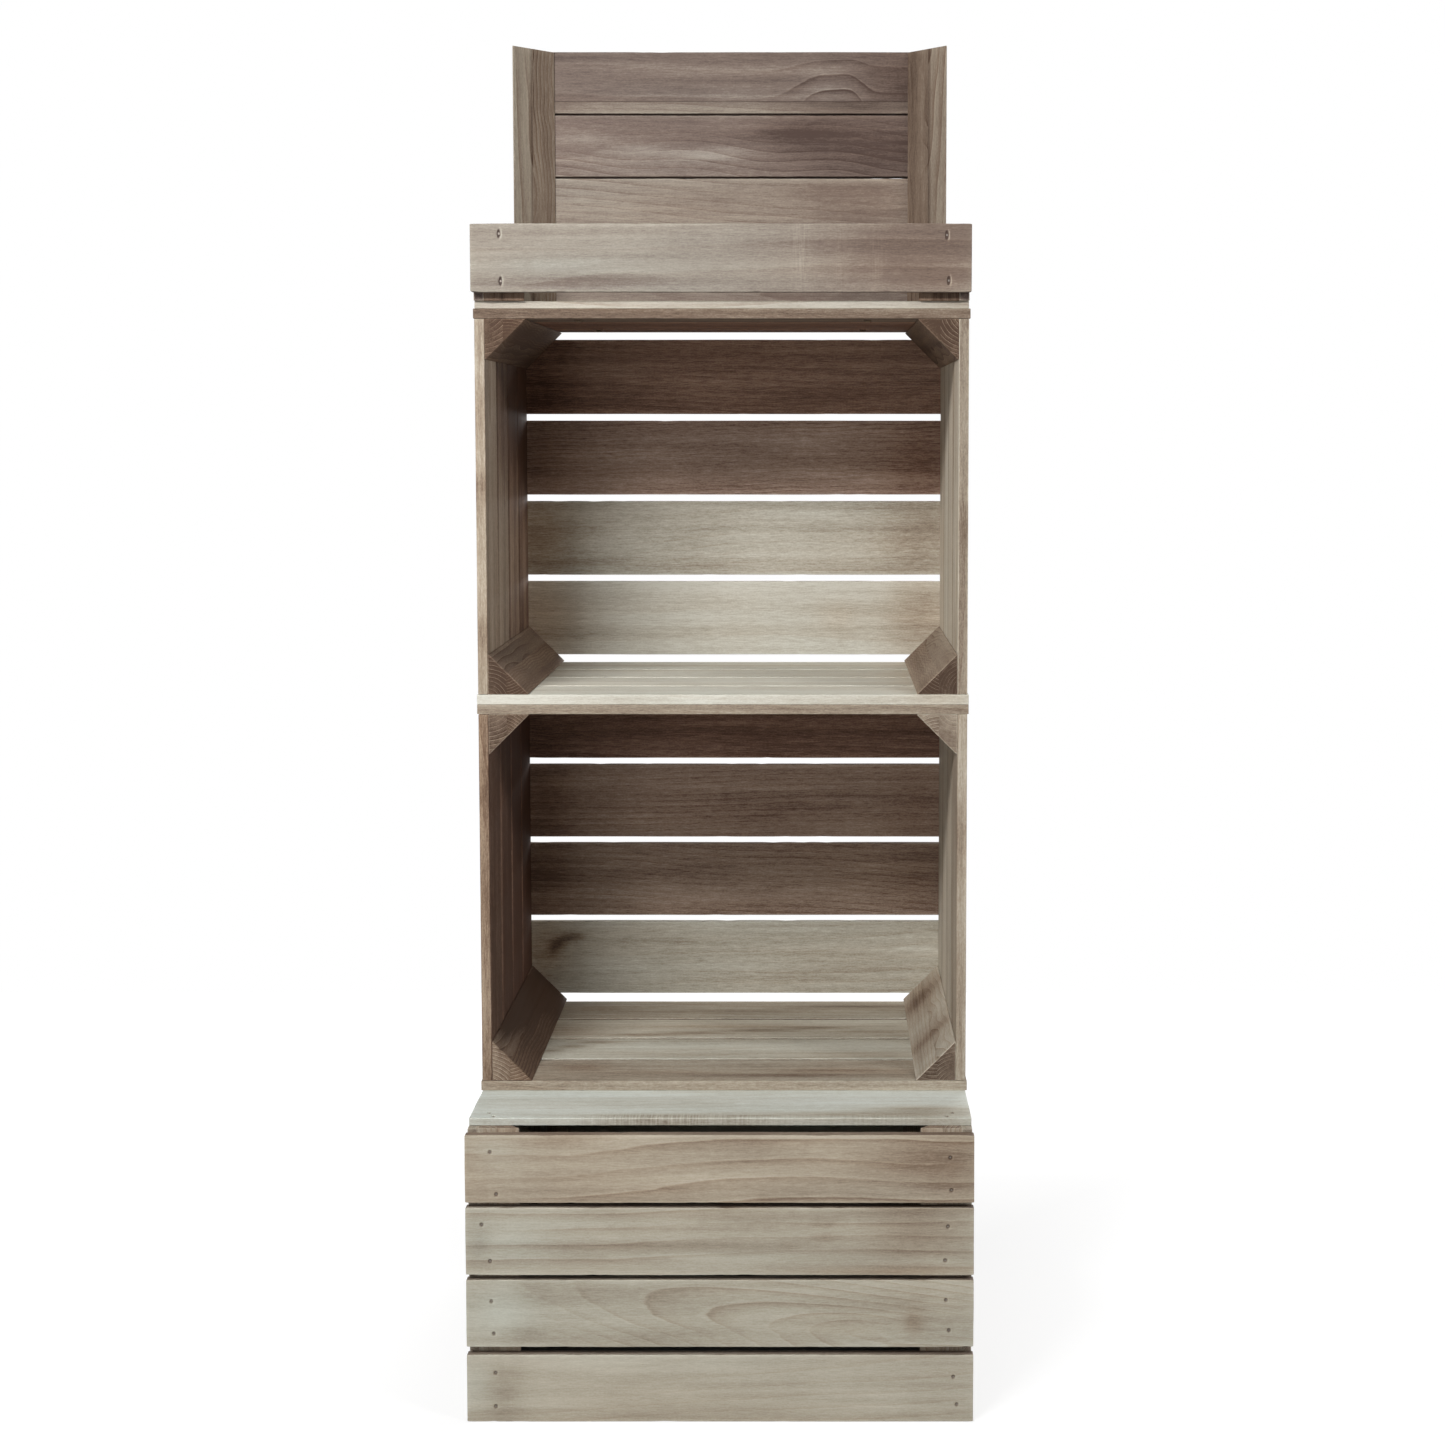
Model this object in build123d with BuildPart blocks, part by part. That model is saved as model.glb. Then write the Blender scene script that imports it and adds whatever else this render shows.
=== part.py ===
from build123d import *
import math
import os

# Crate display stand: a plinth crate upside down, two shelf crates on their long sides with their
# mouths forward, and a low-fronted tray crate on top. Millimetres; X to the right, the front faces
# -Y, Z up. The origin is on the floor, under the middle of the plinth.

# Whole stand
stand_width = 500.0       # length of every crate, from side to side
crate_width = 400.0       # large crate, slat face to slat face: plinth depth and shelf height
crate_height = 300.0      # large crate, base slats to rim: plinth height and shelf depth
tray_depth = 270.0        # small crate, front slat to back slats
tray_height = 300.0       # small crate, base slats to the back's rim
tray_lead = 12.0          # tray's front slat ahead of the shelves' mouths

# Boards and posts
side_thickness = 10.0     # side slats and end boards
base_thickness = 7.5      # base slats
slat_overhang = 1.5       # side slats past the end boards, at each end
post_leg = 42.0           # short sides of the three-cornered posts
post_set_back = 0.6       # post ends below the rim

# Gaps that follow each board, from the rim to the base slats
plinth_slat_gaps = (7.8, 4.7, 4.7, 3.3)
shelf_slat_gaps = (4.8, 4.8, 4.8, 6.1)
tray_slat_gap = 2.0
tray_back_lift = 14.5     # lowest back slat above the base slats
tray_front_lift = 8.0     # front slat above the base slats
tray_back_count = 4
end_board_gap = 0.8
end_board_count = 4

# Base slats lie side by side over the crate's width
base_slat_gap = 7.4
base_slat_count = 4
base_set_back = 17.9      # first base slat behind the side slats' faces
tray_base_count = 3
tray_base_set_back = 13.6

# Brads: square wire, driven just under the surface
brad_width = 2.0
brad_clearance = 0.2      # each side, between the wire and its hole
brad_recess = 0.8
brad_bite = 11.8          # depth in the post or edge behind the board
brad_tip_clearance = 0.3

# Screws that join one crate to the next, driven up from the inside of the lower one
screw_width = 3.6
screw_clearance = 0.2
screw_head_width = 8.0
screw_head_height = 2.2
screw_sides = 6
screw_bite_share = 0.8    # of the upper board's thickness
screw_tip_clearance = 0.3
screw_reach_share = 0.75  # of the way from the middle to the posts

# Brad places on the side slats, four slats in turn, each with two brads on the left and two on the
# right: shares of the post's leg in from its corner, and of the slat's width towards the rim.
slat_brad_shares = (
    ((0.40, -0.23), (0.40, 0.27), (0.20, -0.17), (0.12, 0.24)),
    ((0.32, -0.18), (0.37, 0.30), (0.38, -0.20), (0.31, 0.25)),
    ((0.11, -0.25), (0.30, 0.29), (0.34, -0.22), (0.40, 0.28)),
    ((0.32, -0.25), (0.46, 0.37), (0.29, -0.17), (0.26, 0.31)),
)
tray_front_brad_shares = ((0.42, 0.35), (0.45, -0.34), (0.32, 0.33), (0.27, -0.33))

# The same for the end boards, which lie deeper in from the corner than the slat brads reach
end_brad_shares = (
    ((0.38, -0.27), (0.45, 0.31), (0.41, -0.29), (0.36, 0.25)),
    ((0.43, -0.24), (0.36, 0.28), (0.37, -0.31), (0.44, 0.29)),
)

# Brads through an outer base slat into the post's end: shares of the leg from the end board and
# from the side slats
base_brad_shares = ((0.33, 0.31), (0.19, 0.57))

# Derived sizes
end_face_reach = stand_width / 2 - slat_overhang          # outer face of the end boards
post_reach = end_face_reach - side_thickness              # outer side of the posts
brad_hole = brad_width + 2 * brad_clearance
screw_hole_radius = screw_width / 2 + screw_clearance
shelf_back = crate_width / 2                              # shelves stand level with the plinth's back
shelf_mouth = shelf_back - crate_height
tray_middle = shelf_mouth - tray_lead + tray_depth / 2
screw_reach = (post_reach - post_leg) * screw_reach_share
sides = {"left": -1, "right": 1}

os.makedirs("parts", exist_ok=True)


def lay(start, stop, gaps):
    """Share out boards of one width from start to stop, each followed by its gap."""
    way = math.copysign(1, stop - start)
    width = (abs(stop - start) - sum(gaps)) / len(gaps)
    middles = []
    edge = start
    for gap in gaps:
        middles.append(edge + way * width / 2)
        edge += way * (width + gap)
    return middles, width


def gaps_between(gap, count):
    """Equal gaps after all boards but the last, which ends against its neighbour."""
    return (gap,) * (count - 1) + (0,)


def save(piece, label):
    """Name a finished piece and write it."""
    piece.part.label = label
    export_step(piece.part, f"parts/{label}.step")


class Board:
    """One board: the plane of its outer face, its size, and where its brads go through."""

    def __init__(self, face, length, width, thickness, spots):
        self.face = face
        self.length = length
        self.width = width
        self.thickness = thickness
        self.spots = spots

    def screw_spots(self):
        """Places on the outer face where a joining screw passes."""
        places = []
        for place in screw_places:
            local = self.face.to_local_coords(Vector(*place))
            level = abs(local.Z) < base_thickness
            if level and abs(local.X) < self.length / 2 and abs(local.Y) < self.width / 2:
                places.append((local.X, local.Y))
        return places

    def screw_depth(self):
        """A screw goes right through the lower board and bites into the upper one."""
        if self.face.z_dir.Z > 0:
            return self.thickness
        return self.thickness * screw_bite_share


class Crate:
    """A crate in its own frame: x along its length, z from its base slats' faces to its rim."""

    def __init__(self, name, plane, width, height):
        self.name = name
        self.plane = plane
        self.width = width
        self.height = height
        self.post_side = width / 2 - side_thickness       # slat side of the posts
        self.nailing = []                                 # face, thickness, what it holds to, spots

    def face(self, x, y, z, normal, along):
        """Plane of a board's outer face, from a point and two directions of the crate's frame."""
        frame = (self.plane.x_dir, self.plane.y_dir, self.plane.z_dir)
        out = Vector(0, 0, 0)
        for share, direction in zip(normal, frame):
            out += direction * share
        origin = self.plane.from_local_coords(Vector(x, y, z))
        return Plane(origin=origin, x_dir=frame[along], z_dir=out)

    def nail(self, face, thickness, held_by, places):
        """Put brads through a board into a post or an end board, and give their spots on its face."""
        spots = []
        for place in places:
            local = face.to_local_coords(self.plane.from_local_coords(Vector(*place)))
            spots.append((local.X, local.Y))
        self.nailing.append((face, thickness, held_by, spots))
        return spots

    def side_slat(self, side, z, length, width, shares):
        """One board along the crate, bradded to the posts at both ends."""
        y = side * self.width / 2
        face = self.face(0, y, z, (0, side, 0), 0)
        spots = []
        for end, pair in zip(sides.values(), (shares[:2], shares[2:])):
            places = []
            for inward, rimward in pair:
                places.append((end * (post_reach - post_leg * inward), y, z + width * rimward))
            spots += self.nail(face, side_thickness, (end, side), places)
        return Board(face, length, width, side_thickness, spots)

    def end_board(self, end, z, width, shares):
        """One board across the crate's end, between the side slats, bradded to two posts."""
        x = end * end_face_reach
        face = self.face(x, 0, z, (end, 0, 0), 1)
        spots = []
        for side, pair in zip(sides.values(), (shares[:2], shares[2:])):
            places = []
            for inward, rimward in pair:
                places.append((x, side * (self.post_side - post_leg * inward), z + width * rimward))
            spots += self.nail(face, side_thickness, (end, side), places)
        return Board(face, 2 * self.post_side, width, side_thickness, spots)

    def base_slat(self, y, width, outer):
        """One base board: outer ones are bradded to the posts, inner ones to the end boards."""
        face = self.face(0, y, 0, (0, 0, -1), 0)
        spots = []
        for end in sides.values():
            if outer:
                side = math.copysign(1, y)
                places = []
                for from_end, from_side in base_brad_shares:
                    x = end * (post_reach - post_leg * from_end)
                    places.append((x, side * (self.post_side - post_leg * from_side), 0))
                spots += self.nail(face, base_thickness, (end, side), places)
            else:
                places = [(end * (post_reach + side_thickness / 2), y, 0)]
                spots += self.nail(face, base_thickness, end, places)
        return Board(face, 2 * end_face_reach, width, base_thickness, spots)

    def end_boards(self, end, rows, width):
        """A crate's whole end, rim board first."""
        boards = []
        for row, z in enumerate(rows):
            boards.append(self.end_board(end, z, width, end_brad_shares[row % len(end_brad_shares)]))
        return boards

    def held(self, held_by):
        """Everything bradded to one post or to one end's boards."""
        return [nails for nails in self.nailing if nails[2] == held_by]

    def post(self, end, side, top, label):
        """A three-cornered post in one corner, from the base slats up to a height."""
        corner = Vector(end * post_reach, side * self.post_side, 0)
        with BuildPart() as wood:
            with BuildSketch(self.plane.offset(base_thickness)):
                with BuildLine():
                    Polyline(
                        corner,
                        corner - Vector(end * post_leg, 0, 0),
                        corner - Vector(0, side * post_leg, 0),
                        close=True,
                    )
                make_face()
            extrude(amount=top - post_set_back - base_thickness)
            for face, thickness, _, spots in self.held((end, side)):
                with BuildSketch(face.offset(-thickness)):
                    with Locations(*spots):
                        Rectangle(brad_hole, brad_hole)
                extrude(amount=-(brad_bite + brad_tip_clearance), mode=Mode.SUBTRACT)
        save(wood, label)

    def brads(self):
        """All brads of the crate, heads just under the boards' faces."""
        with BuildPart() as wires:
            for face, thickness, _, spots in self.nailing:
                with BuildSketch(face.offset(-brad_recess)):
                    with Locations(*spots):
                        Rectangle(brad_width, brad_width)
                extrude(amount=-(thickness - brad_recess + brad_bite))
        save(wires, f"{self.name}_brads")


def make_boards(label, boards, edge_nails=()):
    """Make one node of boards, with their brad and screw holes, and write it."""
    with BuildPart() as wood:
        for board in boards:
            with BuildSketch(board.face):
                Rectangle(board.length, board.width)
                with Locations(*board.spots):
                    Rectangle(brad_hole, brad_hole, mode=Mode.SUBTRACT)
            extrude(amount=-board.thickness)
            screw_spots = board.screw_spots()
            if screw_spots:
                with BuildSketch(board.face):
                    with Locations(*screw_spots):
                        RegularPolygon(screw_hole_radius, screw_sides)
                extrude(amount=-board.screw_depth(), mode=Mode.SUBTRACT)
        for face, thickness, _, spots in edge_nails:
            with BuildSketch(face.offset(-thickness)):
                with Locations(*spots):
                    Rectangle(brad_hole, brad_hole)
            extrude(amount=-(brad_bite + brad_tip_clearance), mode=Mode.SUBTRACT)
    save(wood, label)


def shared_middles(below, below_width, above, above_width):
    """Middles of the strips where a lower board and an upper board lie on each other."""
    middles = []
    for low_board in below:
        for high_board in above:
            front = max(low_board - below_width / 2, high_board - above_width / 2)
            back = min(low_board + below_width / 2, high_board + above_width / 2)
            if back - front > 2 * screw_head_width:
                middles.append((front + back) / 2)
    return sorted(middles)


# Rows of boards in each crate's own frame
plinth_rows, plinth_slat = lay(crate_height, base_thickness, plinth_slat_gaps)
shelf_rows, shelf_slat = lay(crate_height, base_thickness, shelf_slat_gaps)
end_rows, end_width = lay(crate_height, base_thickness, gaps_between(end_board_gap, end_board_count))
base_rows, base_width = lay(
    base_set_back - crate_width / 2,
    crate_width / 2 - base_set_back,
    gaps_between(base_slat_gap, base_slat_count),
)
tray_rows, tray_slat = lay(
    tray_height,
    base_thickness + tray_back_lift,
    gaps_between(tray_slat_gap, tray_back_count),
)
tray_base_rows, tray_base_width = lay(
    tray_base_set_back - tray_depth / 2,
    tray_depth / 2 - tray_base_set_back,
    gaps_between(base_slat_gap, tray_base_count),
)

# Where each crate stands
plinth_top = crate_height
lower_top = plinth_top + crate_width
upper_top = lower_top + crate_width
plinth = Crate(
    "plinth",
    Plane(origin=(0, 0, plinth_top), x_dir=(1, 0, 0), z_dir=(0, 0, -1)),
    crate_width,
    crate_height,
)
lower_shelf = Crate(
    "lower_shelf",
    Plane(origin=(0, shelf_back, (plinth_top + lower_top) / 2), x_dir=(1, 0, 0), z_dir=(0, -1, 0)),
    crate_width,
    crate_height,
)
upper_shelf = Crate(
    "upper_shelf",
    Plane(origin=(0, shelf_back, (lower_top + upper_top) / 2), x_dir=(1, 0, 0), z_dir=(0, -1, 0)),
    crate_width,
    crate_height,
)
tray = Crate(
    "tray",
    Plane(origin=(0, tray_middle, upper_top), x_dir=(1, 0, 0), z_dir=(0, 0, 1)),
    tray_depth,
    tray_height,
)

# Screws sit where a board of the lower crate and one of the upper crate lie on each other
shelf_depths = [shelf_back - z for z in shelf_rows]
tray_depths = [tray_middle + y for y in tray_base_rows]
joints = (
    (plinth_top, base_thickness, side_thickness, base_rows, base_width, shelf_depths, shelf_slat),
    (lower_top, side_thickness, side_thickness, shelf_depths, shelf_slat, shelf_depths, shelf_slat),
    (upper_top, side_thickness, base_thickness, shelf_depths, shelf_slat, tray_depths, tray_base_width),
)
screw_places = []
with BuildPart() as screws:
    for level, below, above, below_rows, below_width, above_rows, above_width in joints:
        middles = shared_middles(below_rows, below_width, above_rows, above_width)
        spots = [(end * screw_reach, y) for end in sides.values() for y in (middles[0], middles[-1])]
        screw_places += [(x, y, level) for x, y in spots]
        with BuildSketch(Plane.XY.offset(level - below - screw_head_height)):
            with Locations(*spots):
                RegularPolygon(screw_head_width / 2, screw_sides)
        extrude(amount=screw_head_height)
        with BuildSketch(Plane.XY.offset(level - below)):
            with Locations(*spots):
                RegularPolygon(screw_width / 2, screw_sides)
        extrude(amount=below + above * screw_bite_share - screw_tip_clearance)
save(screws, "joining_screws")

# Plinth, rim down: front slats counted from the floor, top boards from the front
front, back = 1, -1
for row, z in enumerate(plinth_rows):
    slat = plinth.side_slat(front, z, stand_width, plinth_slat, slat_brad_shares[row])
    make_boards(f"plinth_front_slat_{row + 1}", [slat])
slats = []
for row, z in enumerate(plinth_rows):
    shares = slat_brad_shares[(row + 2) % len(slat_brad_shares)]
    slats.append(plinth.side_slat(back, z, stand_width, plinth_slat, shares))
make_boards("plinth_back_slats", slats)
for row, y in enumerate(reversed(base_rows)):
    slat = plinth.base_slat(y, base_width, row in (0, base_slat_count - 1))
    make_boards(f"plinth_top_board_{row + 1}", [slat])
for hand, end in sides.items():
    boards = plinth.end_boards(end, end_rows, end_width)
    make_boards(f"plinth_{hand}_end_boards", boards, plinth.held(end))
    for place, side in (("front", front), ("back", back)):
        plinth.post(end, side, crate_height, f"plinth_{place}_{hand}_post")
plinth.brads()

# Shelves: the side slats are the floor and the ceiling, the base slats are the back
floor, ceiling = -1, 1
for turn, shelf in enumerate((lower_shelf, upper_shelf)):
    for place, side in (("floor", floor), ("ceiling", ceiling)):
        slats = []
        for row, z in enumerate(shelf_rows):
            shares = slat_brad_shares[(row + turn + 1) % len(slat_brad_shares)]
            slats.append(shelf.side_slat(side, z, stand_width, shelf_slat, shares))
        make_boards(f"{shelf.name}_{place}_slats", slats)
    for row, y in enumerate(base_rows):
        slat = shelf.base_slat(y, base_width, row in (0, base_slat_count - 1))
        make_boards(f"{shelf.name}_back_slat_{row + 1}", [slat])
    for hand, end in sides.items():
        boards = shelf.end_boards(end, end_rows, end_width)
        make_boards(f"{shelf.name}_{hand}_end_boards", boards, shelf.held(end))
        for place, side in (("bottom", floor), ("top", ceiling)):
            shelf.post(end, side, crate_height, f"{shelf.name}_{place}_{hand}_post")
    shelf.brads()

# Tray: a full back, and a front and ends of one board each. Above the end boards the back slats
# stop at the posts' outer sides.
front, back = -1, 1
front_middle = base_thickness + tray_front_lift + tray_slat / 2
slat = tray.side_slat(front, front_middle, stand_width, tray_slat, tray_front_brad_shares)
make_boards("tray_front_slat", [slat])
for row, z in enumerate(reversed(tray_rows)):
    length = stand_width if row == 0 else 2 * post_reach
    slat = tray.side_slat(back, z, length, tray_slat, slat_brad_shares[row % len(slat_brad_shares)])
    make_boards(f"tray_back_slat_{row + 1}", [slat])
for row, y in enumerate(tray_base_rows):
    slat = tray.base_slat(y, tray_base_width, row in (0, tray_base_count - 1))
    make_boards(f"tray_base_slat_{row + 1}", [slat])
for hand, end in sides.items():
    boards = tray.end_boards(end, end_rows[-1:], end_width)
    make_boards(f"tray_{hand}_end_board", boards, tray.held(end))
    front_top = front_middle + tray_slat / 2
    for place, side, top in (("front", front, front_top), ("back", back, tray_height)):
        tray.post(end, side, top, f"tray_{place}_{hand}_post")
tray.brads()
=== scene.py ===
import math

import bpy
import numpy as np
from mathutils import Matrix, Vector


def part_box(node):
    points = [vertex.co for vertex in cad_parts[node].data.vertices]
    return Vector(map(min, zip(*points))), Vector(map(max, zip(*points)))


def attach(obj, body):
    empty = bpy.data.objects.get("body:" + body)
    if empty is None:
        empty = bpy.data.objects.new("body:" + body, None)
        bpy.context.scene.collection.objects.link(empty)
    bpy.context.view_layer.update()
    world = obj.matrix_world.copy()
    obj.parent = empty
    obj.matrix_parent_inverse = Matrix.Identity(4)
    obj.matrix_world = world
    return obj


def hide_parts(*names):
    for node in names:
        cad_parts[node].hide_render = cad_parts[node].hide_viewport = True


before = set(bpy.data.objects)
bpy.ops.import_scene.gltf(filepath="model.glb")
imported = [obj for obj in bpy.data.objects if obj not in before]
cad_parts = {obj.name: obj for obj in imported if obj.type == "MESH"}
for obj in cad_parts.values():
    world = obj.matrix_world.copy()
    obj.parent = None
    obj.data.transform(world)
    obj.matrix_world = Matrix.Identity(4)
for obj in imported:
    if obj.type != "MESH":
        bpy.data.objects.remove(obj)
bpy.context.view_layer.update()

mm = 0.001


# Plinth, front slats: four planed boards across the front of the upturned crate, soft light wood
# rubbed with a thin grey wash. Each is held by brads driven just under the surface into the corner
# posts.
arris = 0.7 * mm          # rounding of a board's edges
edge_band = 3.0 * mm      # strip along an edge that wears and chips
edge_sway = 0.25 * mm     # slow wandering of a long edge
end_sway = 0.3 * mm       # and of a sawn end
upper_chips = (5, 0.7 * mm)   # splinters gone from a face's edges: how many, how deep
lower_chips = (3, 0.5 * mm)
corner_loss = 0.5 * mm    # a board's corners are rubbed off a little
wear_reach = 1.7 * mm     # how far the rubbing shows from an edge
groove = 0.35 * mm        # parting of two glued strips: half width and depth
groove_depth = 0.3 * mm
line_step = 7.0 * mm      # mesh lines along a board
row_step = 4.0 * mm       # mesh lines across a board
same_line = 0.2 * mm      # mesh lines nearer than this are one line
brad_depth = 0.8 * mm     # brads' heads under the face
# The dents' dark inside is partly painted shade, and their pale rim on one side a painted highlight.
round_dent = (2.4 * mm, 2.7 * mm, -0.55, 0.08)   # half length, half width, lightness within and at the rim
draw = np.random.default_rng(41)


def lines_between(start, stop, step, extra):
    """Mesh lines from start to stop: even steps, joined with the extra lines, near ones dropped."""
    even = np.linspace(start, stop, 2 + int((stop - start) / step))
    extra = np.asarray(extra, float)
    extra = extra[(extra > start + same_line) & (extra < stop - same_line)]
    merged = np.sort(np.concatenate([even, extra]))
    keep = np.diff(merged, append=merged[-1] + 1) > same_line
    keep[0] = True
    return merged[keep]


def outline(corners, marks, arc_steps=2):
    """Closed outline, clockwise. Side k runs over its marks, shares from corner k to corner k + 1,
    with the side's normal (-dy, dx). At a corner the direction turns to the next side's normal in
    equal angles. Gives core points, directions, distance to the nearer corner, and side numbers."""
    core, way, reach, side = [], [], [], []
    count = len(corners)
    step = np.roll(corners, -1, axis=0) - corners
    length = np.linalg.norm(step, axis=1)
    normal = np.column_stack([-step[:, 1], step[:, 0]]) / length[:, None]
    angle = np.arctan2(normal[:, 1], normal[:, 0])
    for k in range(count):
        share = np.asarray(marks[k])
        core.append(corners[k] + share[:, None] * step[k])
        way.append(np.tile(normal[k], (len(share), 1)))
        reach.append(np.minimum(share, 1 - share) * length[k])
        side.append(np.full(len(share), k))
        turn = (angle[k] - angle[(k + 1) % count]) % (2 * np.pi)
        bend = angle[k] - turn * np.linspace(0, 1, arc_steps + 2)[1:-1]
        core.append(np.tile(corners[(k + 1) % count], (arc_steps, 1)))
        way.append(np.column_stack([np.cos(bend), np.sin(bend)]))
        reach.append(np.zeros(arc_steps))
        side.append(np.full(arc_steps, -1))
    return np.vstack(core), np.vstack(way), np.concatenate(reach), np.concatenate(side)


def ring_grid(rows, around):
    """Numbers i of the row, j of the place and after of the next place for each face of a grid whose
    rows close to rings, and the faces: (i, j), (i + 1, j), (i + 1, after), (i, after)."""
    i, j = np.meshgrid(np.arange(rows - 1), np.arange(around), indexing="ij")
    after = (j + 1) % around
    quads = np.stack([i * around + j, (i + 1) * around + j, (i + 1) * around + after, i * around + after], -1)
    return i, j, after, quads.reshape(-1, 4)


def carry(ring, length, radius, lines, divisions):
    """Closed solid: the outline carried along the lines, its rounding shrunk over a quarter circle at
    both ends, and each end closed by one face for each glued strip.
    Point = (line, core + radius * fullness * direction)."""
    core, way, reach, side = ring
    quarter = np.radians([90.0, 60.0, 30.0])
    tip = length / 2 - radius + radius * np.sin(quarter)
    at = np.concatenate([-tip, lines, tip[::-1]])
    full = np.concatenate([np.cos(quarter), np.ones(len(lines)), np.cos(quarter)[::-1]])
    count, around = len(at), len(core)
    flat = core[None] + radius * full[:, None, None] * way[None]
    points = np.concatenate([np.broadcast_to(at[:, None, None], (count, around, 1)), flat], axis=2)

    i, j, after, quads = ring_grid(count, around)
    middle = (core[j, 0] + core[after, 0]).ravel() / 2
    strip = np.searchsorted(divisions, middle)
    rounded = (side[j] < 0) | (side[after] < 0) | (side[j] != side[after]) | (full[i] * full[i + 1] < 1)
    faces, smooth = quads.tolist(), rounded.ravel().tolist()
    strips, ends = strip.tolist(), [0.0] * len(quads)
    own_side = np.where(side[j] == side[after], side[j], -1).ravel().tolist()
    edges = [-np.inf, *divisions, np.inf]
    for k in range(len(divisions) + 1):
        inside = np.nonzero((core[:, 0] >= edges[k] - 1e-7) & (core[:, 0] <= edges[k + 1] + 1e-7))[0]
        faces.append(inside.tolist())
        faces.append((inside[::-1] + (count - 1) * around).tolist())
        smooth += [False, False]
        strips += [k, k]
        own_side += [-1, -1]
        ends += [1.0, 1.0]
    to_end = length / 2 - np.abs(at)
    wear = np.exp(-np.minimum(reach[None], to_end[:, None]) / wear_reach)
    return {
        "points": points.reshape(-1, 3), "side": np.tile(side, count), "full": np.repeat(full, around),
        "wear": wear.ravel(), "faces": faces, "smooth": smooth, "strip": strips, "own_side": own_side,
        "end": ends,
    }


def slow_wave(at, size, reach):
    """A calm wave from 0 to size along a board: three sines of falling height, phases drawn."""
    total = np.zeros_like(at)
    for order in (1, 2.3, 5.1):
        total += np.sin(2 * np.pi * order * at / reach + draw.uniform(0, 6.28)) / order
    return size * (0.5 + total / 3.4)


def chips(at, length, count, depth):
    """Splinters gone from an edge: the deepest of a few bell curves at drawn places."""
    gone = np.zeros_like(at)
    for _ in range(count):
        place = draw.uniform(-length / 2, length / 2)
        width = draw.uniform(1.5, 9.0) * mm
        bell = draw.uniform(0.3, 1.0) * depth * np.exp(-((at - place) / width) ** 2)
        gone = np.maximum(gone, bell)
    return gone


def board(size, spots, divisions, dent, spread=(0.0, 0.0)):
    """A board in its own frame: along, across, out. Its edges wander and chip inwards, its brads sink
    in dents, dark within, partly painted shade of the dent, and pale at the rim on one side, a painted
    highlight, and glued strips part in a fine groove: out is lowered by the dents' cones and the
    grooves' wedges. With a spread, one value for each long edge, the edge is out of square and its
    outer rim fuller."""
    length, width, thick = size
    half_across, half_out = width / 2 - arris, thick / 2 - arris
    shares = np.array([-1.5, -1.0, -0.5, 0.0, 0.5, 1.0, 1.5])
    beside = [d + way for d in divisions for way in (-groove, 0.0, groove)]
    bands = [edge_band - width / 2, width / 2 - edge_band]
    near_brads = [y + dent[1] * s for _, y in spots for s in shares]
    outer = lines_between(-half_across, half_across, row_step, [*beside, *bands, *near_brads])
    inner = lines_between(-half_across, half_across, row_step, [*beside, *bands])
    corners = np.array([(-1, 1), (1, 1), (1, -1), (-1, -1)]) * (half_across, half_out)
    span, narrow = 2 * half_across, [0.0, 0.5, 1.0]
    marks = [(outer + half_across) / span, narrow, (half_across - inner[::-1]) / span, narrow]
    along = [x + dent[0] * s for x, _ in spots for s in shares]
    along += [edge_band - length / 2, length / 2 - edge_band]
    lines = lines_between(arris - length / 2, length / 2 - arris, line_step, along)
    solid = carry(outline(corners, marks), length, arris, lines, divisions)

    points = solid["points"]
    x, y, z = points.T
    high = 0.5 + z / thick
    for way, fuller in zip((-1, 1), spread):
        at_edge = np.clip((way * y - (width / 2 - edge_band)) / edge_band, 0, 1)
        top = slow_wave(x, edge_sway, 0.31) + chips(x, length, *upper_chips) - fuller
        bottom = slow_wave(x, edge_sway, 0.27) + chips(x, length, *lower_chips)
        corner = corner_loss * np.exp(-(length / 2 - np.abs(x)) / (2.5 * mm))
        points[:, 1] -= way * at_edge * (high * top + (1 - high) * bottom + corner)
    for way in (-1, 1):
        at_end = np.clip((way * x - (length / 2 - edge_band)) / edge_band, 0, 1)
        points[:, 0] -= way * at_end * slow_wave(y, end_sway, 0.09)
    face = (solid["side"] == 0) & (solid["full"] == 1)
    sunk, stain = np.zeros(len(points)), np.zeros(len(points))
    # Each dent is painted darker on one side, as shade, and paler at the rim on the other, as a highlight.
    for spot in spots:
        far = np.hypot((x - spot[0]) / dent[0], (y - spot[1]) / dent[1])
        here, aside = np.clip(1.6 * (1 - far), 0, 1), (x - spot[0]) / dent[0]
        sunk = np.maximum(sunk, here)
        rim = np.exp(-(((far - 1.0) / 0.35) ** 2)) * np.clip(aside, 0, 1)
        shade = here * np.clip(1 - 4 * dent[3] * aside, 0, 1)
        stain += np.where(face, dent[2] * shade + dent[3] * rim, 0)
    lowered = np.where(face, 1.25 * brad_depth * sunk, 0.0)
    flat_side = (solid["side"] == 0) | (solid["side"] == 2)
    for d in divisions:
        cleft = np.clip(1 - np.abs(y - d) / groove, 0, 1) * groove_depth
        points[:, 2] -= np.where(flat_side, np.sign(z) * cleft, 0.0)
        stain -= np.where(flat_side, cleft / mm, 0.0)
    points[:, 2] -= lowered
    solid["stain"] = stain
    solid["cornered"] = False
    return solid


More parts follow.
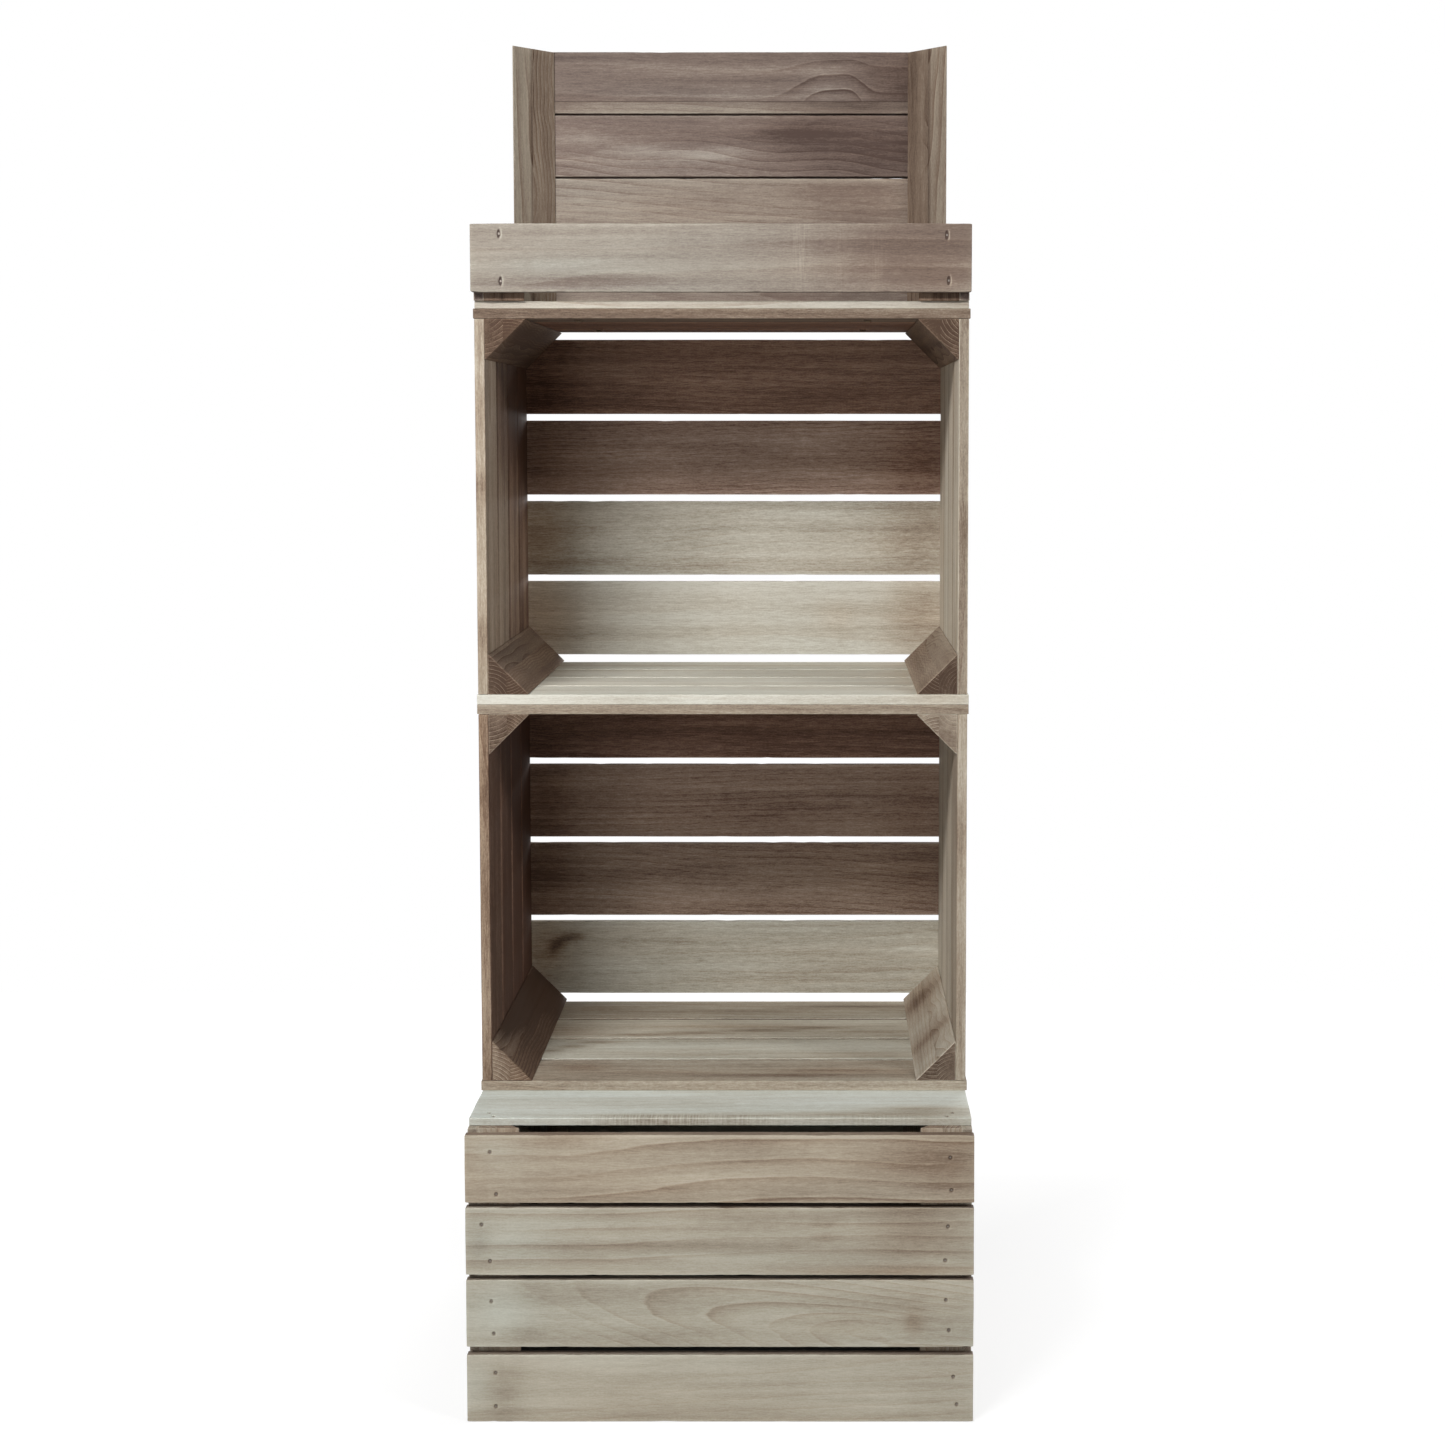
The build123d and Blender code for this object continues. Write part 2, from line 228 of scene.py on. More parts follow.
def cut(light=0.0, warm=0.0, violet=0.0, figure=0.4, **given):
    """How a board was sawn from its log, in millimetres: where the pith lies across and behind, how
    it leans along the board, how it wanders, and how far apart the rings are. Marks are soft patches,
    stains and in places painted shade: place along and across, length, width, lightness and warmth.
    Knots push the rings aside, fades weaken them (or bring them out), and scuffs are patches of short
    strokes across the grain, light or dark. Edges and ends are the lightness of the two long narrow
    faces and of the sawn ends beside that of the wide ones, the narrow faces darker by default as
    painted shade in the gaps between boards, violet tints all but the narrow faces, and outer, where
    given, is the lightness and warmth of the face turned out and of the sawn ends."""
    made = {
        "light": light + draw.normal(0, 0.010),
        "warm": warm, "violet": violet, "figure": figure, "edges": -0.10, "ends": 0.0, "outer": None,
        "pith": (draw.uniform(-140, 140), draw.choice([-1, 1]) * draw.uniform(30, 110)),
        "lean": (draw.normal(0, 0.02), draw.normal(0, 0.03)),
        "wander": (draw.uniform(1.0, 3.0), draw.uniform(220, 520), draw.uniform(0, 6.28)),
        "rings": draw.uniform(5.0, 10.0),
        "seat": draw.uniform(-5, 5, 3),
        **{key: [] for key in ("marks", "knots", "fades", "scuffs")},
    }
    made.update(given)
    return made


def grain_fields(solid, cuts):
    """Where each face corner lay in its log. With (x, y, z) along, across and out:
    u = (y - pith across - lean x - wander sin(2 pi x / wave)) / rings, v = (z - pith behind - lean x) /
    rings, so that hypot(u, v) counts the rings. Stains and knots add bells of x and y."""
    starts = np.array([len(f) for f in solid["faces"]])
    corner = np.concatenate([np.asarray(f) for f in solid["faces"]])
    strip = np.repeat(solid["strip"], starts)
    x, y, z = solid["points"][corner].T

    def per(key, part=None):
        return np.array([c[key] if part is None else c[key][part] for c in cuts])[strip]

    def bell(place_x, place_y, long, wide):
        return np.exp(-((x / mm - place_x) / long) ** 2 - ((y / mm - place_y) / wide) ** 2)

    swing = per("wander", 0) * np.sin(2 * np.pi * x / (per("wander", 1) * mm) + per("wander", 2))
    u = (y / mm - per("pith", 0) - per("lean", 0) * x / mm - swing) / per("rings")
    v = (z / mm - per("pith", 1) - per("lean", 1) * x / mm) / per("rings")
    own, end = np.repeat(solid["own_side"], starts), np.repeat(solid["end"], starts)
    washed = np.array([c["outer"] is not None for c in cuts])[strip] & ((own == 0) | (end == 1))
    outer = np.array([c["outer"] or (0, 0) for c in cuts])[strip]
    light = np.where(washed, outer[:, 0], per("light"))
    warm = np.where(washed, outer[:, 1], per("warm"))
    figure, scuff = per("figure"), np.zeros(len(x))
    for k, c in enumerate(cuts):
        for *spot, lighter, warmer in c["marks"]:
            there = np.where((strip == k) & ~washed, bell(*spot), 0)
            light, warm = light + lighter * there, warm + warmer * there
        for *spot, amount in c["knots"]:
            v = v + np.where(strip == k, amount * bell(*spot), 0)
        for *spot, amount in c["fades"]:
            figure = figure * (1 - np.where(strip == k, amount * bell(*spot), 0))
        for *spot, amount in c["scuffs"]:
            scuff = scuff + np.where(strip == k, amount * bell(*spot), 0)
    narrow = np.isin(own, (1, 3)) & (not solid["cornered"])
    light = light + np.where(narrow, per("edges"), 0) + np.where(end == 1, per("ends"), 0)
    light = light + solid["stain"][corner]
    fibre = np.column_stack([x, y, z]) + np.column_stack([per("seat", 0), per("seat", 1), per("seat", 2)])
    return {
        "log_place": np.column_stack([x, u, v]),
        "fibre_place": fibre,
        "tone": np.column_stack([light, warm, np.where(narrow, 0, per("violet"))]),
        "figure": figure, "scuff": scuff, "wear": solid["wear"][corner], "end": end,
    }


def mesh_object(name, points, faces, smooth):
    """An object at the origin whose mesh has the object's name, put in the scene."""
    mesh = bpy.data.meshes.new(name)
    mesh.from_pydata(points, [], faces)
    mesh.polygons.foreach_set("use_smooth", smooth)
    made = bpy.data.objects.new(name, mesh)
    bpy.context.scene.collection.objects.link(made)
    return made


def put_together(node, solids, slot):
    """One object of several solids, each already in the stand's frame, with its grain fields on it."""
    points, faces, smooth, fields, base = [], [], [], [], 0
    for solid, field in solids:
        points.append(solid["placed"])
        faces += [[v + base for v in f] for f in solid["faces"]]
        smooth += solid["smooth"]
        fields.append(field)
        base += len(solid["placed"])
    piece = mesh_object(node + "_wood", np.vstack(points), faces, smooth)
    for key, first in fields[0].items():
        kind, part = ("FLOAT_VECTOR", "vector") if first.ndim == 2 else ("FLOAT", "value")
        layer = piece.data.attributes.new(key, kind, "CORNER")
        layer.data.foreach_set(part, np.concatenate([f[key] for f in fields]).astype(np.float32).ravel())
    piece.data.materials.append(wood_of[slot])
    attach(piece, "root")
    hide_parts(node)


def frame_of(along, out):
    """Directions along, across and out of a board as columns: across = out x along."""
    grain, face = np.eye(3)[along], np.asarray(out, float)
    return np.column_stack([grain, np.cross(face, grain), face])


def rows_of(node, axis, gaps):
    """The boxes of a node's equal boards, laid side by side on one axis with gaps between."""
    low, high = (np.array(c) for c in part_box(node))
    width = (high[axis] - low[axis] - sum(gaps) * mm) / (len(gaps) + 1)
    boxes, start = [], low[axis]
    for gap in (*gaps, 0):
        first, last = low.copy(), high.copy()
        first[axis], last[axis] = start, start + width
        boxes.append((first, last))
        start += width + gap * mm
    return boxes


def corners_of(node):
    """The corners of a node's solids, one row each."""
    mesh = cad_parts[node].data
    at = np.empty(len(mesh.vertices) * 3, np.float32)
    mesh.vertices.foreach_get("co", at)
    return at.reshape(-1, 3)


def heaps(places, reach):
    """Means of the groups of places that lie nearer than the reach to the group's first one."""
    near = np.linalg.norm(places[:, None] - places[None], axis=2) < reach
    first = near.argmax(axis=1)
    return [places[first == f].mean(axis=0) for f in np.unique(first)]


def brad_spots(brads, middle, turn, size):
    """Places of the brads' heads on a board's face: the brads' corners that lie one recess under the
    face, in heaps nearer than a brad's diagonal."""
    local = (corners_of(brads) - middle) @ turn
    level = np.abs(local[:, 2] - (size[2] / 2 - brad_depth)) < 0.1 * mm
    inside = (np.abs(local[:, 0]) < size[0] / 2) & (np.abs(local[:, 1]) < size[1] / 2)
    heads = local[level & inside][:, :2]
    diagonal = 3.2 * mm
    return heaps(heads, diagonal) if len(heads) else []


def boards_piece(node, along, out, all_cuts, brads, slot, gaps=(), dent=round_dent, spread=(0, 0)):
    """The boards of one node, side by side with gaps between on the axis that is left: each box is
    filled by a board whose grain runs along one axis and whose face looks out, with the cuts of its
    strips and, where it is glued up, the places of its divisions across."""
    solids = []
    turn = frame_of(along, out)
    beside = 3 - along - int(np.flatnonzero(out)[0])
    for (low, high), strips in zip(rows_of(node, beside, gaps), all_cuts):
        middle = (low + high) / 2
        size = np.abs((high - low) @ turn)
        spots = brad_spots(brads, middle, turn, size)
        divisions = [d * mm for d in strips.get("divisions", [])]
        solid = board(size, spots, divisions, dent, spread)
        solid["placed"] = middle + solid["points"] @ turn.T
        solids.append((solid, grain_fields(solid, strips["cuts"])))
    put_together(node, solids, slot)


def one(**given):
    """A board of one strip."""
    return {"cuts": [cut(**given)]}


def washed_outside(boards, light):
    """Gives boards one look on their outer faces, each a little off the lightness."""
    for strip in [s for strips in boards for s in strips["cuts"]]:
        strip["outer"] = (light + draw.normal(0, 0.03), 0.1 + draw.normal(0, 0.2))


def adder(tree):
    """For a node tree, a function that adds a node, sets it and its inputs, and gives an output."""
    def add(kind, inputs, output=0, **settings):
        made = tree.nodes.new(kind)
        for key, value in settings.items():
            setattr(made, key, value)
        for key, value in inputs.items():
            if isinstance(value, bpy.types.NodeSocket):
                tree.links.new(value, made.inputs[key])
            else:
                made.inputs[key].default_value = value
        return made.outputs[output]

    return add


def ramp(value, points):
    """Greys or colours that run straight between their places on a value from 0 to 1."""
    made = value.id_data.nodes.new("ShaderNodeValToRGB")
    elements = made.color_ramp.elements
    while len(elements) < len(points):
        elements.new(0.5)
    for element, (place, shade) in zip(elements, points):
        element.position = place
        element.color = (*shade, 1) if isinstance(shade, tuple) else (shade, shade, shade, 1)
    value.id_data.links.new(value, made.inputs[0])
    return made.outputs[0]


def bare_material(name):
    """A material with an empty node tree."""
    material = bpy.data.materials.new(name)
    material.use_nodes = True
    material.node_tree.nodes.clear()
    return material


def show(shader):
    """Makes a shader the one that its material shows."""
    tree = shader.id_data
    tree.links.new(shader, tree.nodes.new("ShaderNodeOutputMaterial").inputs[0])


def washed_wood(name, stops, grain=1.0):
    """Soft light wood under a thin wash. hypot(u, v) of the log, bent by noise, counts the rings. Each
    ring browns slowly towards its end and stops at a thin pale line. Noise stretched along the
    fibres gives pores, streaks and bands, round noise the wash, and their sum picks a colour between
    the even stops, which warmth turns to brown and violet to mauve. A coarser grain makes pores,
    fibres and streaks stronger."""
    material = bare_material(name)
    add = adder(material.node_tree)

    def field(key, output):
        return add("ShaderNodeAttribute", {}, output, attribute_name=key)

    def sum_of(a, b):
        return add("ShaderNodeMath", {0: a, 1: b}, operation="ADD")

    def times(a, b):
        return add("ShaderNodeMath", {0: a, 1: b}, operation="MULTIPLY")

    def centred(value, amount):
        return add("ShaderNodeMath", {0: value, 1: amount, 2: -amount / 2}, operation="MULTIPLY_ADD")

    def vector(operation, a, b, key=1):
        return add("ShaderNodeVectorMath", {0: a, key: b}, operation=operation)

    def noise(by, detail, rough=0.55, output=0, distortion=0.0):
        inputs = {
            "Vector": vector("MULTIPLY", fibre, by), "Scale": 1.0, "Detail": detail,
            "Roughness": rough, "Distortion": distortion,
        }
        return add("ShaderNodeTexNoise", inputs, output)

    fibre = field("fibre_place", "Vector")
    light, warm, violet = add("ShaderNodeSeparateXYZ", {0: field("tone", "Vector")}).node.outputs
    end = field("end", "Fac")

    bend = vector("SUBTRACT", noise((2.6, 16, 16), 2, output=1), (0.5, 0.5, 0.5))
    across = vector("MULTIPLY", field("log_place", "Vector"), (0, 1, 1))
    bent = add("ShaderNodeVectorMath", {0: bend, 1: (0, 1.3, 1.3), 2: across}, operation="MULTIPLY_ADD")
    count = add("ShaderNodeVectorMath", {0: bent}, 1, operation="LENGTH")
    count = sum_of(count, centred(noise((12, 150, 150), 2), 0.22))
    ring = add("ShaderNodeMath", {0: count}, operation="FRACT")
    late = ramp(ring, [(0, 0.3), (0.06, 0.0), (0.45, 0.05), (0.80, 0.45), (0.95, 1.0), (1, 0.7)])
    pale = ramp(ring, [(0, 0.9), (0.05, 0.7), (0.13, 0.0), (0.96, 0.0), (1, 0.9)])
    shown = ramp(noise((3.2, 22, 22), 1), [(0.36, 0.1), (0.60, 1.0)])
    shown = times(shown, field("figure", "Fac"))
    late, pale = times(late, shown), times(pale, shown)

    pores = noise((90, 1200, 1200), 2, 0.6)
    streaks = noise((6, 170, 170), 3, 0.55)
    strokes = ramp(noise((620, 30, 30), 1), [(0.35, 0.0), (0.65, 1.0)])
    worn = times(field("wear", "Fac"), noise((60, 200, 200), 2))

    value = sum_of(light, 0.5)
    for part in (
        times(late, -0.20), times(pale, 0.10), times(times(pale, end), 0.35),
        centred(streaks, 0.12 + 0.12 * grain),
        centred(noise((1.7, 40, 40), 2, 0.5), 0.42),                    # bands
        centred(noise((7, 19, 19), 3, 0.55, distortion=0.4), 0.26),     # the wash
        centred(pores, 0.30 * grain),
        centred(noise((40, 460, 460), 2), 0.22 * (grain - 1)),          # fibres
        centred(noise((420, 900, 900), 1), 0.16 * grain),               # speckle
        times(field("scuff", "Fac"), strokes), times(worn, 0.15), times(end, -0.24),
    ):
        value = sum_of(value, part)
    colour = ramp(value, list(zip(np.linspace(0, 1, len(stops)), stops)))
    hue = sum_of(sum_of(warm, times(late, 0.9)), centred(noise((2.2, 12, 12), 1), 1.5))
    tint = vector("SCALE", (0.055, -0.010, -0.055), hue, "Scale")
    blush = vector("SCALE", (0.06, -0.06, 0.02), violet, "Scale")
    tint = vector("ADD", vector("ADD", tint, blush), (1, 1, 1))

    height = sum_of(times(streaks, 0.4), times(pores, 0.4))
    height = sum_of(height, times(late, -0.3))
    bump = add("ShaderNodeBump", {"Strength": 0.35, "Distance": 0.3 * mm, "Height": height})
    show(add("ShaderNodeBsdfPrincipled", {
        "Base Color": vector("MULTIPLY", colour, tint), "Normal": bump,
        "Roughness": sum_of(centred(streaks, 0.25), 0.76), "Specular IOR Level": 0.2,
    }))
    return material


grey_stops = [
    (0.075, 0.052, 0.038), (0.200, 0.158, 0.122), (0.385, 0.340, 0.272),
    (0.545, 0.510, 0.430), (0.700, 0.680, 0.610),
]
wood_of = {"plinth_wood": washed_wood("plinth_washed_wood", grey_stops)}    # materials by slot
across_front = (0, -1, 0)
# The front slats' narrow faces are darkened through edges: painted shade in the gaps between them.
front_cuts = [
    one(light=0.11, violet=-0.12, figure=0.3, edges=-0.35, rings=9.0, pith=(60, -60),
        lean=(0.0, -0.06), marks=[
        (-213, -8, 20, 26, -0.16, 0.0), (-206, 16, 16, 8, -0.06, 0.0), (-240, 8, 14, 20, 0.05, -0.5),
        (160, -12, 25, 12, 0.05, 0.0), (215, 4, 45, 50, -0.06, 0.0),
    ]),
    one(light=0.08, warm=-0.15, violet=-0.15, figure=0.8, edges=-0.35, rings=6.5, pith=(-2, -46),
        lean=(-0.21, 0.105), wander=(1, 300, 1.0), fades=[(-215, -10, 130, 60, 1.0)],
        knots=[(140, -13, 48, 15, -1.3)], marks=[
        (-185, 24, 18, 10, -0.09, 0.0), (-192, -20, 22, 12, -0.12, 0.0), (-215, 6, 36, 26, 0.17, -0.6),
        (-110, 8, 50, 8, 0.05, 0.0), (191, -9, 10, 12, -0.14, 0.9), (120, -13, 50, 12, -0.04, 0.4),
        (215, 12, 20, 10, 0.05, 0.0), (205, 0, 50, 60, -0.06, 0.2),
    ]),
    one(light=0.045, violet=-0.12, figure=0.6, edges=-0.35, rings=15.0, pith=(-190, -30),
        lean=(0.015, 0.01), wander=(1.5, 500, 0.4), marks=[
        (103, 4, 15, 4, -0.13, 0.5), (69, -4, 11, 3, -0.09, 0.3), (103, 18, 18, 5, -0.10, 0.3),
        (-236, 2, 10, 22, -0.07, -0.3), (160, -30, 80, 4, -0.08, 1.0), (190, -18, 60, 5, 0.09, -0.3),
        (-150, 20, 70, 8, 0.06, -0.3), (-205, -6, 50, 26, 0.11, -0.6), (190, 6, 50, 40, -0.16, 0.8),
        (-90, -6, 130, 4, -0.10, 0.3), (20, -15, 120, 4, 0.06, -0.2), (-60, 13, 110, 3, -0.08, 0.2),
        (10, 26, 120, 4, -0.07, 0.3),
    ]),
    one(light=-0.045, warm=0.9, violet=-0.1, figure=1.0, edges=-0.3, rings=20.0, pith=(-151, -30),
        lean=(0.045, 0.0), wander=(4, 420, 0.75), marks=[
        (201, 9, 55, 20, -0.17, 0.7), (225, -10, 30, 20, -0.06, 0.3), (-162, 27, 38, 6, -0.11, 0.3),
        (150, 28, 50, 7, 0.08, -0.5), (-205, 0, 40, 40, 0.05, -0.3), (-222, 18, 24, 16, 0.06, -0.5),
        (4, 14, 1.6, 2.6, -0.2, 0.5), (-60, -10, 90, 10, 0.03, 0.0),
    ]),
]
for number, cuts in enumerate(front_cuts):
    boards_piece(f"plinth_front_slat_{number + 1}", 0, across_front, [cuts], "plinth_brads", "plinth_wood")

# Plinth, back slats: four more boards of the same kind across the back, with the same gaps between
# them. They are bradded to the two rear corner posts, and the wash on them is plain and even.
slat_gaps = (7.8, 4.7, 4.7)
cuts = [one(light=0.04 + 0.02 * draw.normal()) for _ in range(4)]
boards_piece("plinth_back_slats", 0, (0, 1, 0), cuts, "plinth_brads", "plinth_wood", slat_gaps)

# Plinth, top boards: the crate's thin base slats, now on top, bradded down into the posts' ends and
# the end boards. The first one is the ledge in front of the shelves, bleached and scuffed along its
# front edge.
wood_of["ledge_wood"] = washed_wood("ledge_washed_wood", grey_stops, 1.6)
ledge_marks = [
    (-40, -38, 110, 9, -0.18, 0.8), (120, -32, 80, 8, -0.20, 0.7), (200, -14, 45, 6, -0.22, 0.6),
    (-190, -10, 60, 40, 0.01, 0.2), (205, -30, 60, 18, -0.30, 0.7),
]
ledge_scuffs = [(-85, -39, 55, 8, -0.24), (0, -39, 60, 7, -0.18), (150, -39, 60, 6, -0.12)]
top_cuts = [
    one(light=0.36, warm=-1.0, violet=-0.1, figure=0.4, edges=-0.14, rings=9.0, pith=(120, -60),
        marks=ledge_marks, scuffs=ledge_scuffs),
    one(light=0.03),
    one(light=0.0),
    one(light=0.02),
]
for number, cuts in enumerate(top_cuts):
    slot = "ledge_wood" if number == 0 else "plinth_wood"
    boards_piece(f"plinth_top_board_{number + 1}", 0, (0, 0, 1), [cuts], "plinth_brads", slot)

# Plinth, end boards: four boards edge to edge at each end, their grain from front to back. They sit
# between the front and back slats and are bradded to the posts from outside.
hands = {"left": -1, "right": 1}
end_gaps = (0.8, 0.8, 0.8)
for hand, end in hands.items():
    node = f"plinth_{hand}_end_boards"
    cuts = [one(light=0.02 + 0.03 * draw.normal()) for _ in range(4)]
    boards_piece(node, 1, (end, 0, 0), cuts, "plinth_brads", "plinth_wood", end_gaps)

# Corner posts: three-cornered blocks glued up from two woods and sawn off slantwise, one in every
# corner of a crate. The boards are bradded to their two square sides.
post_arris = 0.8 * mm
brown_stops = [
    (0.060, 0.038, 0.026), (0.170, 0.126, 0.094), (0.330, 0.280, 0.218),
    (0.500, 0.455, 0.375), (0.660, 0.630, 0.550),
]
wood_of["post_wood"] = washed_wood("post_washed_wood", brown_stops)


def post_piece(node, along, end, side_axis, side, cuts, division, seam=0.3):
    """A three-cornered post: the right-angled outline with its square corner at the outside, carried
    along the node's box. The glue line stands at a share of the leg, as a fine groove, and the seam
    tells how dark it is."""
    low, high = (np.array(c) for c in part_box(node))
    legs = np.eye(3)
    inward, other = -end * legs[0], -side * legs[side_axis]
    turn = np.column_stack([np.cross(inward, other), inward, other])
    size = np.abs((high - low) @ turn)
    length, leg = size[0], size[1]
    corner = (low + high) / 2 - leg / 2 * (inward + other)
    inset = post_arris * (1 + math.sqrt(2))
    tips = np.array([
        (post_arris, leg - inset), (leg - inset, post_arris), (post_arris, post_arris),
    ])
    line = division * leg
    cross = np.array([line - groove, line, line + groove])
    span = leg - inset - post_arris
    even = np.linspace(0, 1, 9)
    slant = np.unique(np.concatenate([even, (cross - post_arris) / span]))
    level = np.unique(np.concatenate([even, 1 - (cross - post_arris) / span]))
    lines = lines_between(post_arris - length / 2, length / 2 - post_arris, line_step, [])
    solid = carry(outline(tips, [slant, level, even], 3), length, post_arris, lines, [line])
    points = solid["points"]
    cleft = np.clip(1 - np.abs(points[:, 1] - line) / (2 * groove), 0, 1) * groove_depth
    solid["stain"], solid["cornered"] = np.zeros(len(points)), True
    for number, (way_y, way_z) in enumerate(((math.sqrt(0.5), math.sqrt(0.5)), (0.0, -1.0))):
        on = solid["side"] == number
        solid["stain"] -= np.where(on, seam * cleft / mm, 0)
        points[:, 1] -= np.where(on, way_y * cleft, 0)
        points[:, 2] -= np.where(on, way_z * cleft, 0)
    solid["placed"] = corner + points @ turn.T
    put_together(node, [(solid, grain_fields(solid, cuts))], "post_wood")


def post_cuts(outer=0.0, inner=-0.06, rings=3.6, warm=0.3, ends=0.0, marks=(), swirls=0):
    """The two glued woods of a post: the strip beside the first board, then the strip beyond. Their
    rings wander in short waves, and the second wood may swirl about a few drawn places."""
    made = []
    for light, warmer, tight, aside, behind in (
        (outer, 0.0, (0.9, 1.3), (-14, 6), (-24, -4)), (inner, 0.4, (0.8, 1.1), (8, 30), (26, 48)),
    ):
        made.append(cut(
            light=light, warm=warm + warmer, figure=1.0, ends=ends, rings=rings * draw.uniform(*tight),
            pith=(draw.uniform(*aside), draw.uniform(*behind)),
            wander=(draw.uniform(1.5, 3.5), draw.uniform(60, 120), draw.uniform(0, 6.28)), marks=marks,
        ))
    if swirls:
        made[1]["figure"] = 1.7
    for _ in range(swirls):
        made[1]["knots"].append((
            draw.uniform(-150, 150), draw.uniform(20, 42), draw.uniform(12, 26), draw.uniform(7, 14),
            draw.uniform(-1.8, 1.8),
        ))
    return made


for hand, end in hands.items():
    for place, side in (("front", -1), ("back", 1)):
        post_piece(f"plinth_{place}_{hand}_post", 2, end, 1, side, post_cuts(0.02, 0.0), 0.45)

# Shelves: two crates on their sides. Side slats make the floor and the ceiling, base slats the back,
# and end boards the walls, all bradded to a post in each corner. The boards' inner faces are given
# darker, browner tones than the outer ones: partly the wood's own tone, partly painted shade of the
# crates' shadowed insides.
wood_of["shelf_wood"] = washed_wood("shelf_washed_wood", brown_stops, 1.7)
wood_of["back_wood"] = washed_wood("back_washed_wood", brown_stops, 2.0)
shelf_gaps = (4.8, 4.8, 4.8)
outside_light = 0.08      # the outer faces' wash

# For each shelf: its boards' cuts, then the end boards from the front one back. Walls are their
# lightness, the left ones darker towards the back, partly the wood's tone and partly painted shade;
# seams how the line beside each gap stands out, shade how much each left board darkens towards the
# top, a painted shadow of the ceiling; rims their narrow faces, and worn the places, lengths and
# lightness of rubbed spots on the first. Posts are the wood's and the sawn ends' lightness, and marks;
# the dark posts and their dark marks are partly painted shade.
lower_looks = {
    "floor": [
        one(light=0.0, warm=0.4, violet=-0.1, figure=0.4, edges=0.0, marks=[
            (60, 15, 90, 4.5, -0.26, 0.1), (120, 0, 60, 8, -0.14, 1.2), (-150, -10, 30, 12, -0.12, 0.9),
            (-60, 6, 70, 5, -0.08, 0.5), (-90, -24, 90, 6, 0.08, -0.3), (100, 28, 80, 5, 0.06, -0.6),
            (200, 4, 40, 12, -0.08, 0.2), (-200, 20, 30, 12, -0.06, 0.2),
        ]),
        one(light=0.25, warm=-0.2, violet=-0.15, figure=0.4, edges=-0.35, marks=[
            (-190, 6, 14, 5, -0.34, 0.3), (-170, -9, 16, 5, -0.36, 0.3), (-148, -22, 22, 4, -0.34, 0.3),
            (-70, 18, 60, 4, -0.10, 0.4), (60, -6, 100, 8, 0.05, 0.0), (-30, -28, 110, 4, -0.10, 0.2),
            (150, 20, 60, 8, -0.10, 0.7),
        ]),
        one(light=0.20, warm=0.1, violet=-0.15, figure=0.4, edges=-0.35, marks=[
            (-100, 23, 40, 4, -0.30, 0.6), (-40, 16, 42, 5, -0.32, 0.6), (30, 7, 45, 5, -0.36, 0.4),
            (95, -3, 38, 4, -0.36, 0.2), (0, -8, 110, 8, -0.06, 1.0), (150, 12, 50, 4, -0.20, 0.4),
            (-190, 10, 40, 20, -0.14, 0.8), (170, -24, 60, 8, 0.06, 0.0),
        ]),
        one(light=0.12, warm=0.4, violet=-0.1, figure=0.4, edges=-0.35, marks=[
            (0, 10, 120, 8, -0.14, 0.1), (140, -12, 60, 4, -0.26, 0.3), (-160, -5, 50, 8, -0.14, 0.8)]),
    ],
    # Ceiling boards, front first: those behind the front one are darker and browner inside, partly painted
    # shade under the ceiling.
    "ceiling": [
        one(light=-0.10, warm=0.3, edges=0.0),
        *(one(light=-0.30, warm=2.0, violet=0.6) for _ in range(3)),
    ],
    # Back slats, lowest first: the upper ones darker and browner are partly painted shade of the ceiling; the
    # dark brown patches at their ends are painted shade of the walls.
    "back": [
        one(light=0.26, warm=-0.1, violet=-0.1, figure=0.4, rings=12.0, pith=(-130, -50), marks=[
            (-213, -9, 7, 7, -0.32, 0.5), (-206, -17, 9, 6, -0.50, 0.5), (-190, -25, 15, 5, -0.50, 0.5),
            (-225, -6, 26, 40, -0.20, 2.0), (40, 24, 100, 5, -0.14, 0.2), (90, -4, 110, 4, -0.12, 0.3),
            (150, 12, 60, 4, -0.12, 0.3), (-60, 0, 60, 6, -0.07, 0.0), (190, -10, 50, 8, 0.05, 0.0),
        ]),
        one(light=-0.08, warm=1.2, violet=0.5, figure=0.8, rings=7.0, pith=(-120, -40),
            lean=(0.06, 0.0), marks=[(-225, 0, 35, 60, -0.12, 1.2), (222, 0, 45, 60, -0.09, 0.3)]),
        one(light=-0.04, warm=1.2, violet=0.6, figure=0.7, rings=6.0, pith=(110, -60),
            lean=(-0.02, 0.0), marks=[(-225, 0, 35, 60, -0.12, 1.2), (215, 0, 40, 60, -0.09, 0.7)]),
        one(light=-0.31, warm=2.6, violet=0.8, figure=0.6),
    ],
    "walls": {"left": (-0.39, -0.53, -0.61, -0.63), "right": (-0.02, 0.19, 0.23, 0.21)},
    "seams": {"left": 0.32, "right": -0.40},
    "shade": (0, 0, 0, 0),
    "rims": {"left": 0.18, "right": 0.07},
    "worn": {
        "left": ((-115, 50, 0.12), (10, 40, -0.08), (110, 25, -0.10)),
        "right": ((-90, 40, -0.08), (60, 30, -0.14), (130, 20, 0.06)),
    },
    "posts": {
        "bottom_left": (-0.40, 0.32, [
            (118, 6, 42, 15, 0.22, -0.8), (73, 3, 40, 6, -0.40, 0.3), (-35, 10, 50, 9, -0.50, 0.3),
            (-90, 16, 40, 11, -0.56, 0.3), (-120, 30, 60, 20, -0.10, 0.3)]),
        "bottom_right": (0.10, -0.24, [
            (91, 24, 28, 26, -0.34, 1.0), (0, 24, 16, 30, 0.08, -0.3), (-58, 20, 15, 26, -0.22, 0.8),
            (-122, 24, 12, 30, 0.08, -0.3), (20, 16, 60, 4, -0.10, 0.5)]),
        "top_left": (-0.17, 0.0, []),
        "top_right": (0.08, 0.0, []),
    },
}
